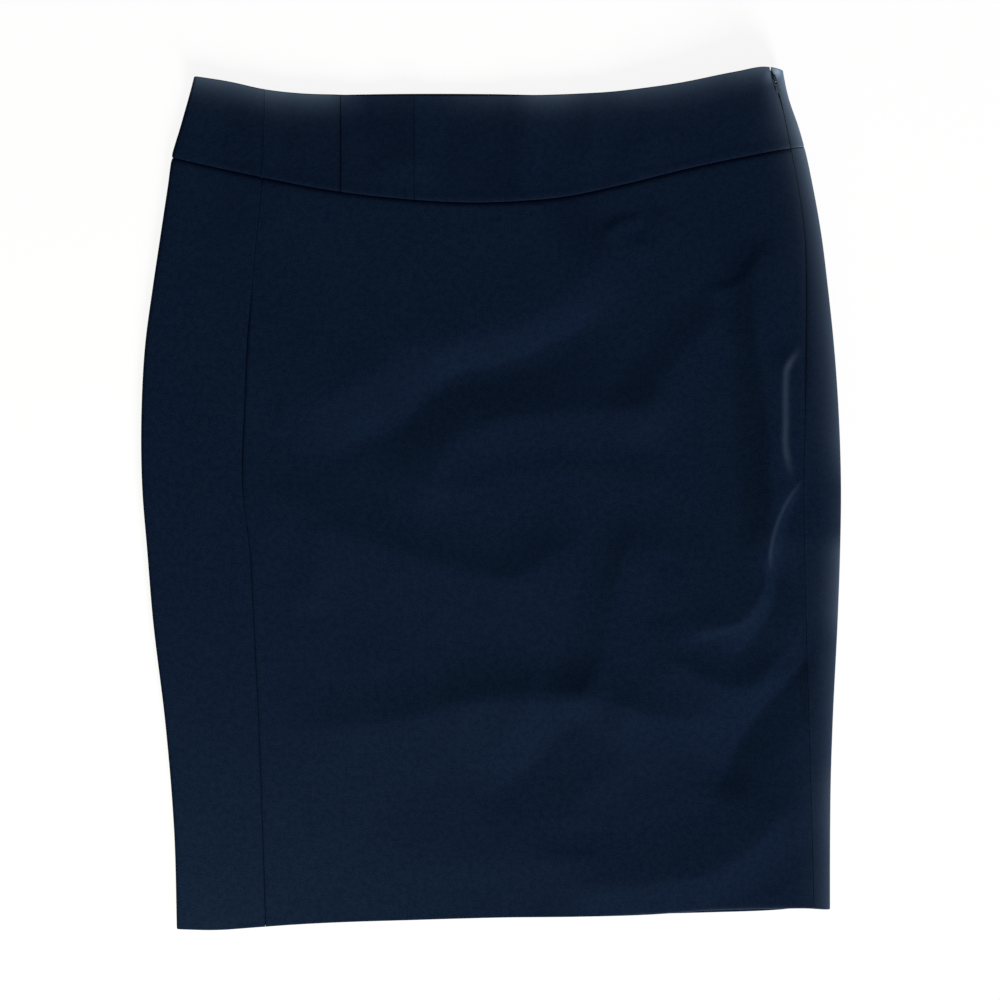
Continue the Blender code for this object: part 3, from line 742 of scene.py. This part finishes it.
def shaped(band, points, normals, depths):
    """Height added to the flat form: creases, curl and unevenness above, shallow folds below."""
    x, y = points[..., 0], points[..., 1]
    from_left = x - section("left", y) - LEFT_ROUND
    from_right = section("right", y) - section("round", y) - x
    hold = ramp(from_left / LEFT_REACH) * ramp((from_right + RIGHT_SPILL) / RIGHT_HOLD)
    facing = normals[..., 2]
    rise = hold * (creases(x, y, FRONT_CREASES) + unevenness(x, y))
    if band == "yoke":
        across = (x - section("left", y)) / (section("right", y) - section("left", y))
        above_seam = y - level_y(across, 1.0)
        rise += hold * creases(x, y, YOKE_CREASES) * ramp(above_seam / YOKE_FADE)
        rise += waist_curl(x, depths)
    lower = creases(x, y, BACK_CREASES) * ramp(from_left / BACK_FROM) * ramp(from_right / BACK_FROM)
    upper = rise * np.clip(facing / CREASE_TURN, 0.0, 1.0)
    return np.where(facing > 0, upper, lower * (facing < UNDERSIDE))


print("unevenness up to about", UNEVEN_HEIGHT, "mm")

# %% [markdown]
# ## The eight pieces of cloth
# Each piece starts as its part of the rings, from one seam to the next. Creases raise it, seams dip
# and swell along its normal, and nothing sinks below the surface that the skirt lies on. The hem is
# thicker, because it is turned up inside. Each shell then takes its solid's place.

# %% Pieces of cloth
CLOTH_PIECES = [
    # solid, band, from, to, columns, turning, start, end, lower, upper
    ("yoke_side", "yoke", "left", "panel", 44, 26, "faint", "faint", "over", "free"),
    ("yoke_outer_strip", "yoke", "panel", "strip_0", 30, 0, "faint", "deep", "over", "free"),
    ("yoke_inner_strip", "yoke", "strip_0", "strip_1", 30, 0, "deep", "faint", "over", "free"),
    ("yoke_front", "yoke", "strip_1", "side", 130, 0, "faint", "zip", "over", "free"),
    ("yoke_back", "yoke", "side", "end", 170, 26, "zip", "faint", "flush", "free"),
    ("side_front_panel", "skirt", "left", "panel", 50, 26, "faint", "pressed", "free", "under"),
    ("front_panel", "skirt", "panel", "side", 200, 0, "pressed", "zip", "free", "under"),
    ("back_panel", "skirt", "side", "end", 180, 26, "zip", "faint", "free", "flush"),
]
PRESS_REACH = 6.0  # the iron's mark beside a seam or edge
FAR = 1000.0  # beyond the reach of any rubbed edge


def grid_over(levels, spread):
    """Lengths and places of a grid; spread gives the lengths on the ring at a level."""
    lengths = [spread(ring_at(v), v) for v in levels]
    points = [ring_at(v).at(row) for v, row in zip(levels, lengths)]
    return np.array(lengths), np.array(points)


def take_place(piece, solid):
    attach(piece, "skirt")
    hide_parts(solid)


def cloth_piece(solid, band, from_seam, to_seam, count, turning, *styles):
    cloth, edge = (YOKE_CLOTH, YOKE_CLOTH) if band == "yoke" else (CLOTH, HEM_CLOTH)

    def spread(ring, v):
        start = ring.seam(from_seam) + half_gap(from_seam, v)
        end = ring.seam(to_seam) - half_gap(to_seam, v)
        return column_lengths(ring, start, end, count, turning, cloth)

    levels = row_levels(band, edge)
    lengths, flat = grid_over(levels, spread)
    points = flat.copy()
    x, y = flat[..., 0], flat[..., 1]
    normals = grid_normals(flat)

    distances = (lengths - lengths[:, :1], lengths[:, -1:] - lengths, y - y[:1], y[-1:] - y)
    points[..., 2] += shaped(band, flat, normals, distances[3])
    relief = sum(seam_section(style, d, y) for style, d in zip(styles, distances))
    points += relief[..., None] * normals
    points[..., 2] = np.maximum(points[..., 2], 0.0)

    thickness = np.full(x.shape, cloth)
    if band == "skirt":
        thickness += (HEM_CLOTH - CLOTH) * ramp((HEM_DEPTH - distances[2]) / HEM_STEP + 1)
    border = np.maximum(pinch(len(levels))[:, None], pinch(lengths.shape[1])[None, :])
    piece = shell(solid + "_cloth", points, thickness, border * thickness)
    set_grain(piece, lengths, y)
    set_mark(piece, "press", np.exp(-((np.min(distances, axis=0) / PRESS_REACH) ** 2)))
    # Painted shade along each seam's tuck.
    set_mark(piece, "tuck", sum(painted_seam_shade(style, d, y) for style, d in zip(styles, distances)))
    # Painted sheen and highlights where edges and crests catch the light.
    below_waist = distances[3] if band == "yoke" else FAR
    above_hem = distances[2] if band == "skirt" else FAR
    set_mark(piece, "painted_sheen", painted_sheen_amount(x, y, below_waist, above_hem, normals[..., 2]))
    take_place(piece, solid)
    return piece, flat


def cut_of(flat):
    """Width, length and area of a piece's cloth before it was creased, in metres."""
    across = np.diff(flat, axis=1)
    up = np.diff(flat, axis=0)
    width = np.linalg.norm(across, axis=-1).sum(axis=1).max()
    length = np.ptp(flat[..., 1])
    area = np.linalg.norm(np.cross(across[:-1], up[:, :-1]), axis=-1).sum()
    return float(width) * MM, float(length) * MM, float(area) * MM**2


CLOTHS = {}
for row in CLOTH_PIECES:
    CLOTHS[row[0]], grid = cloth_piece(*row)
    cut_of(grid)

# %% [markdown]
# ## The zip's tapes and coils
# An invisible zip has two woven tapes, sewn to the turnings inside the seam. Each is a thin strip a
# little way behind the cloth, with a nylon coil along its edge. The coil is one thread wound round
# and round, so a loop winds it and a small ring of points is carried along.

# %% Zip tapes
ZIP_LENGTH = 200.0
TAPE_WIDTH = 8.5
TAPE_THICK = 0.6
TAPE_DEPTH = 2.25
TAPE_COLUMNS = 10
TAPE_LEVELS = np.linspace(0.5, 1.99, 120)  # rows to pick from


def zip_levels(from_depth):
    """Levels from this depth below the waist down to the zip's end."""
    top = side_point(2.0)[1]
    return [v for v in TAPE_LEVELS if from_depth < top - side_point(v)[1] < ZIP_LENGTH]


def zip_tape(solid, side):
    """One tape, on one side (-1 front, 1 back) of the zip's seam."""

    def spread(ring, v):
        near = ring.seam("side") + side * half_gap("side", v)
        far = near + side * TAPE_WIDTH
        return np.linspace(min(near, far), max(near, far), TAPE_COLUMNS + 1)

    lengths, points = grid_over(zip_levels(0.0), spread)
    points -= TAPE_DEPTH * grid_normals(points)
    border = np.zeros(lengths.shape)
    border[[0, -1], :] = TAPE_THICK / 2
    border[:, [0, -1]] = TAPE_THICK / 2
    piece = shell(solid + "_cloth", points, np.full(lengths.shape, TAPE_THICK), border)
    set_grain(piece, lengths, points[..., 1])
    take_place(piece, solid)
    return piece, points


TAPES = {}
for solid, side in (("zip_tape_front", -1), ("zip_tape_back", 1)):
    TAPES[solid], grid = zip_tape(solid, side)
    cut_of(grid)

# %% [markdown]
# ## Winding the coils
# Each coil is pressed flat, so its turns are ovals, and the two lie side by side under the seam.
# They stop short of the slider.

# %% Zip coils
COIL_TOP = 18.0  # below the waist
COIL_PITCH = 1.3
COIL_DEPTH = 3.55
COIL_ASIDE = 0.95  # from the seam to the coil's middle
COIL_HALF = (0.72, 0.32)  # half the oval, across and through
COIL_WIRE = 0.13
ACROSS = 1.0  # to either side of the seam, for the direction across it
TURN_STEPS = 10
WIRE_SIDES = 5


def coil_axis(side):
    """Middle line of one coil with its directions across and outwards, at even steps."""
    seams = [(ring_at(v), ring_at(v).seam("side")) for v in zip_levels(COIL_TOP)]
    middle = np.array([ring.at(seam + side * COIL_ASIDE) for ring, seam in seams])
    across = np.array([ring.at(seam + ACROSS) - ring.at(seam - ACROSS) for ring, seam in seams])
    out = np.cross(across, np.gradient(middle, axis=0))
    lengths = np.append(0.0, np.cumsum(np.linalg.norm(np.diff(middle, axis=0), axis=1)))
    turns = int(lengths[-1] / COIL_PITCH)
    even = np.linspace(0.0, turns * COIL_PITCH, turns * TURN_STEPS + 1)
    return even, [follow(even, lengths, part) for part in (middle, unit(across), unit(out))]


def zip_coil(name, side):
    even, (middle, across, out) = coil_axis(side)
    angle = (2 * np.pi * even / COIL_PITCH)[:, None]
    thread = middle - COIL_DEPTH * out
    thread = thread + COIL_HALF[0] * np.cos(angle) * across + COIL_HALF[1] * np.sin(angle) * out
    run = unit(np.gradient(thread, axis=0))
    first = unit(np.cross(run, out))
    second = np.cross(first, run)
    round_wire = np.linspace(0.0, 2 * np.pi, WIRE_SIDES, endpoint=False)[None, :, None]
    wall = thread[:, None] + COIL_WIRE * (np.cos(round_wire) * first[:, None]
                                          + np.sin(round_wire) * second[:, None])
    count = len(thread)
    index = np.arange(count * WIRE_SIDES).reshape(count, WIRE_SIDES)
    beside = np.roll(index, -1, axis=1)
    faces = np.stack([index[:-1], beside[:-1], beside[1:], index[1:]], axis=-1).reshape(-1, 4)
    caps = [index[0, ::-1].tolist(), index[-1].tolist()]
    coil = mesh_object(name, wall.reshape(-1, 3), faces.tolist() + caps)
    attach(coil, "skirt")
    return coil


COILS = [zip_coil("zip_coil_front", -1), zip_coil("zip_coil_back", 1)]
print("coil faces", [len(coil.data.polygons) for coil in COILS])

# %% [markdown]
# ## What each piece was cut from
# Every piece of cloth was cut flat and is now laid down. The front lies on the back, and the back
# on the table.

# %% Flat sizes
BACK_OF = {"yoke": "yoke_back_cloth", "skirt": "back_panel_cloth"}
RESTS_ON = {solid: [BACK_OF[band]] for solid, band, *_ in CLOTH_PIECES}
RESTS_ON |= {
    "yoke_back": [], "back_panel": [],
    "zip_tape_front": ["yoke_front_cloth", "front_panel_cloth"],
    "zip_tape_back": ["yoke_back_cloth", "back_panel_cloth"],
}

# %% [markdown]
# ## Shader maths as Python
# Materials here are procedural. A wire stands for one socket, and adding or multiplying wires adds
# the Math nodes, so a weave can be written as a formula.

# %% Shader wires


class Wire:
    """One socket of a shader tree, with arithmetic."""

    def __init__(self, tree, socket):
        self.tree = tree
        self.socket = socket

    def make(self, kind, settings, inputs, output=0):
        """Any other node: its type, then its settings, then values or wires for its sockets."""
        node = self.tree.nodes.new(kind)
        for name, value in settings.items():
            setattr(node, name, value)
        for name, value in inputs.items():
            connect(self.tree, node.inputs[name], value)
        return Wire(self.tree, node.outputs[output])

    def maths(self, operation, *values):
        return self.make("ShaderNodeMath", {"operation": operation}, dict(enumerate(values)))

    def __add__(self, other):
        return self.maths("ADD", self, other)

    def __sub__(self, other):
        return self.maths("SUBTRACT", self, other)

    def __rsub__(self, other):
        return self.maths("SUBTRACT", other, self)

    def __mul__(self, other):
        return self.maths("MULTIPLY", self, other)

    __radd__ = __add__
    __rmul__ = __mul__

    def sine(self):
        return self.maths("SINE", self)

    def mix(self, first, second):
        """A colour between two, with this wire as the factor."""
        return self.make("ShaderNodeMix", {"data_type": "RGBA"}, {0: self, 6: first, 7: second}, 2)


def connect(tree, socket, value):
    if isinstance(value, Wire):
        tree.links.new(value.socket, socket)
    else:
        socket.default_value = value


def new_material(name, constants):
    """A Principled material; constants are set straight on its sockets."""
    made = bpy.data.materials.new(name)
    made.use_nodes = True
    shader = made.node_tree.nodes["Principled BSDF"]
    for socket, value in constants.items():
        shader.inputs[socket].default_value = value
    return made, shader, Wire(made.node_tree, None)


def feed(shader, wires):
    """Link wires to a shader's sockets by name."""
    for socket, wire in wires.items():
        connect(wire.tree, shader.inputs[socket], wire)


print("wires ready")

# %% [markdown]
# ## The suiting
# Wool suiting is a fine plain weave of dyed yarn, matt, with short fibres on its face. Colour
# changes a little from thread to thread and cloudily over the piece. The weave is a product of two
# waves, about five threads in two millimetres, and drives a small bump. Painted sheen mixes in a
# paler blue along edges and crests, and painted shade darkens the colour along each seam's tuck.
# The faint sheen of the shader itself is the same everywhere.

# %% Suiting material
NAVY = (0.0012, 0.0051, 0.0164, 1.0)
NAVY_PALE = (0.0032, 0.0081, 0.0208, 1.0)
# The darkest navy is painted shade for the seams' tucks; the pale blue below is painted sheen.
PAINTED_SEAM_SHADE_NAVY = (0.0006, 0.0020, 0.0080, 1.0)
PAINTED_SHEEN_BLUE = (0.220, 0.298, 0.400, 1.0)  # painted sheen at full strength
PAINTED_SHEEN_SHARE = 0.12  # how much of that painted sheen shows where its mark is 1
THREAD = 0.00042  # metres between threads
YARN_SCALES = ((2400.0, 90.0, 1.0), (90.0, 2400.0, 1.0))  # long along a yarn, fine across it
CLOUD_SCALE, FLECK_SCALE, SLUB_SCALE = 26.0, 260.0, 900.0
YARN_SHADE, CLOUD_SHADE, FLECK_SHADE, SLUB_SHADE = 0.3, 0.5, 2.2, 3.0
ROUGH, PRESSED, CLOUDED = 0.70, 0.06, 0.06  # pressed cloth is smoother
WEAVE_RISE, YARN_RISE = 0.5, 0.4
SUITING_SHADER = {"Specular IOR Level": 0.02, "Sheen Weight": 0.015, "Sheen Roughness": 0.30,
                  "Sheen Tint": (0.55, 0.62, 0.75, 1.0)}


def suiting(name):
    made, shader, start = new_material(name, SUITING_SHADER)
    grain = start.make("ShaderNodeUVMap", {"uv_map": "grain"}, {})
    apart = start.make("ShaderNodeSeparateXYZ", {}, {0: grain})
    across, up = (Wire(made.node_tree, apart.socket.node.outputs[k]) for k in (0, 1))
    wave = math.pi / THREAD
    weave = (across * wave).sine() * (up * wave).sine()

    def blotches(vector, scale, detail):
        return start.make("ShaderNodeTexNoise", {},
                          {"Vector": vector, "Scale": scale, "Detail": detail})

    warp, weft = (
        blotches(start.make("ShaderNodeMapping", {}, {"Vector": grain, "Scale": scale}), 1.0, 1.0)
        for scale in YARN_SCALES
    )
    yarns = warp + weft
    clouds = blotches(grain, CLOUD_SCALE, 3.0)
    flecks = blotches(grain, FLECK_SCALE, 3.0) - 0.5
    slubs = blotches(grain, SLUB_SCALE, 1.0) - 0.5
    shade = yarns * YARN_SHADE + clouds * CLOUD_SHADE + flecks * FLECK_SHADE + slubs * SLUB_SHADE
    # Painted shade along the seams' tucks and painted sheen on edges and crests go into the colour.
    press, painted_sheen, tuck = (start.make("ShaderNodeAttribute", {"attribute_name": mark}, {}, 2)
                        for mark in ("press", "painted_sheen", "tuck"))
    plain = tuck.mix(shade.mix(NAVY, NAVY_PALE), PAINTED_SEAM_SHADE_NAVY)
    height = weave * WEAVE_RISE + yarns * YARN_RISE
    feed(shader, {
        "Base Color": (painted_sheen * PAINTED_SHEEN_SHARE).mix(plain, PAINTED_SHEEN_BLUE),
        "Roughness": ROUGH - press * PRESSED + (clouds - 0.5) * CLOUDED,
        "Normal": start.make("ShaderNodeBump", {},
                             {"Strength": 0.3, "Distance": 0.00012, "Height": height}),
    })
    return made


SUITING = suiting("navy_suiting_weave")
for piece in CLOTHS.values():
    piece.data.materials.append(SUITING)
print("suiting has", len(SUITING.node_tree.nodes), "nodes")

# %% [markdown]
# ## Tape, coil and enamel
# Zip tape is a ribbed polyester ribbon, and the coil is bare nylon, a little glossier. The slider
# and its tab are cast zinc, enamelled to match the cloth. They are the solids themselves, so only
# their finish changes.

# %% Zip materials
TAPE_NAVY = ((0.003, 0.007, 0.016, 1.0), (0.006, 0.011, 0.024, 1.0))
NYLON_NAVY = ((0.004, 0.008, 0.018, 1.0), (0.007, 0.012, 0.026, 1.0))
ENAMEL_NAVY = ((0.018, 0.024, 0.036, 1.0), (0.028, 0.036, 0.052, 1.0))
RIB_SCALE, SPECKLE_SCALE, SPECKLE_GLOSS = 260.0, 900.0, 0.12


def tape_weave(name):
    made, shader, start = new_material(name, {"Specular IOR Level": 0.2, "Roughness": 0.8})
    grain = start.make("ShaderNodeUVMap", {"uv_map": "grain"}, {})
    rib = start.make("ShaderNodeTexWave", {}, {"Vector": grain, "Scale": RIB_SCALE, "Distortion": 1.0})
    bump = start.make("ShaderNodeBump", {}, {"Strength": 0.4, "Distance": 0.0001, "Height": rib})
    feed(shader, {"Base Color": rib.mix(*TAPE_NAVY), "Normal": bump})
    return made


def speckled(name, colours, rough, constants):
    """A smooth dyed or painted finish, with a fine speckle in colour and gloss."""
    made, shader, start = new_material(name, constants)
    speckle = start.make("ShaderNodeTexNoise", {}, {"Scale": SPECKLE_SCALE, "Detail": 2.0})
    feed(shader, {"Base Color": speckle.mix(*colours), "Roughness": rough + speckle * SPECKLE_GLOSS})
    return made


TAPE_WEAVE = tape_weave("navy_tape_weave")
NYLON = speckled("navy_nylon_coil", NYLON_NAVY, 0.35, {"Specular IOR Level": 0.35})
ENAMEL = speckled("navy_enamel_finish", ENAMEL_NAVY, 0.38,
                  {"Specular IOR Level": 0.3, "Metallic": 0.1})
for pieces, finish in ((TAPES.values(), TAPE_WEAVE), (COILS, NYLON)):
    for piece in pieces:
        piece.data.materials.append(finish)
for node in ("zip_slider", "zip_pull"):
    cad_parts[node].data.materials.clear()
    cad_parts[node].data.materials.append(ENAMEL)
print("finishes:", ", ".join(made.name for made in (SUITING, TAPE_WEAVE, NYLON, ENAMEL)))

# %% [markdown]
# ## The table
# Dark cloth shows best on a pale table. This one glows by itself, so the skirt throws hardly any
# shadow.

# %% Table
WHITE = (1.0, 1.0, 1.0, 1.0)
TABLE_GREY = (0.10, 0.10, 0.10, 1.0)
TABLE_GLOW = 0.889
TABLE_SIDE = 8.0
TABLE_DROP = 0.0002  # just under the cloth, so the two never flicker


def pale_table():
    bpy.ops.mesh.primitive_grid_add(x_subdivisions=4, y_subdivisions=4, size=TABLE_SIDE,
                                    location=(0.0, 0.0, -TABLE_DROP))
    item = bpy.context.object
    item.name = "floor"
    made, _, _ = new_material("pale_table", {
        "Base Color": TABLE_GREY, "Roughness": 0.9, "Specular IOR Level": 0.0,
        "Emission Color": WHITE, "Emission Strength": TABLE_GLOW,
    })
    item.data.materials.append(made)
    return item


print("table", pale_table().name)

# %% [markdown]
# ## Light
# One soft lamp stands low, at the hem's corner on the zip side, and rakes across the cloth, so that
# every slope facing it is bright and every slope facing away is dark. Raking light is what makes
# creases show in dark cloth. A small lamp over the other hem corner and a dim white room fill in.

# %% Lamps and room
KEY_AZIMUTH, KEY_HEIGHT = math.radians(-62.0), math.radians(20.0)
KEY_AWAY, KEY_SIDE, KEY_POWER = 4.5, 1.6, 474.0
FILL_PLACE, FILL_SIDE, FILL_POWER = (-0.30, -0.50, 0.26), 0.22, 2.1
FILL_TINT = (1.0, 0.98, 0.65)
ROOM = 0.28


def lamp(name, place, side, power, tint):
    """A square lamp that faces the middle of the skirt."""
    light = bpy.data.lights.new(name, "AREA")
    light.shape = "SQUARE"
    light.size = side
    light.energy = power
    light.color = tint
    item = placed(name, light)
    item.location = place
    item.rotation_euler = Vector(place).to_track_quat("Z", "Y").to_euler()


def room(strength):
    world = bpy.data.worlds.new("room")
    world.use_nodes = True
    background = world.node_tree.nodes["Background"]
    background.inputs["Color"].default_value = WHITE
    background.inputs["Strength"].default_value = strength
    bpy.context.scene.world = world


toward_key = Vector((math.cos(KEY_AZIMUTH) * math.cos(KEY_HEIGHT),
                     math.sin(KEY_AZIMUTH) * math.cos(KEY_HEIGHT), math.sin(KEY_HEIGHT)))
lamp("key", tuple(toward_key * KEY_AWAY), KEY_SIDE, KEY_POWER, WHITE[:3])
lamp("fill", FILL_PLACE, FILL_SIDE, FILL_POWER, FILL_TINT)
room(ROOM)
print("key lamp", round(toward_key.z * KEY_AWAY, 2), "m above the table")

# %% [markdown]
# ## Camera
# The camera hangs straight over the skirt, far enough away to see both folds alike.

# %% Camera
VIEW_WIDTH = 0.683
VIEW_X, VIEW_Y = 0.00615, -0.00068
VIEW_HEIGHT = 2.2
SENSOR = 36.0


def camera():
    lens = bpy.data.cameras.new("camera")
    lens.sensor_width = SENSOR
    lens.lens = SENSOR * VIEW_HEIGHT / VIEW_WIDTH
    item = placed("camera", lens)
    item.location = (VIEW_X, VIEW_Y, VIEW_HEIGHT)
    bpy.context.scene.camera = item
    return lens


print("lens", round(camera().lens, 1), "mm")
bpy.context.scene.view_settings.view_transform = "Standard"
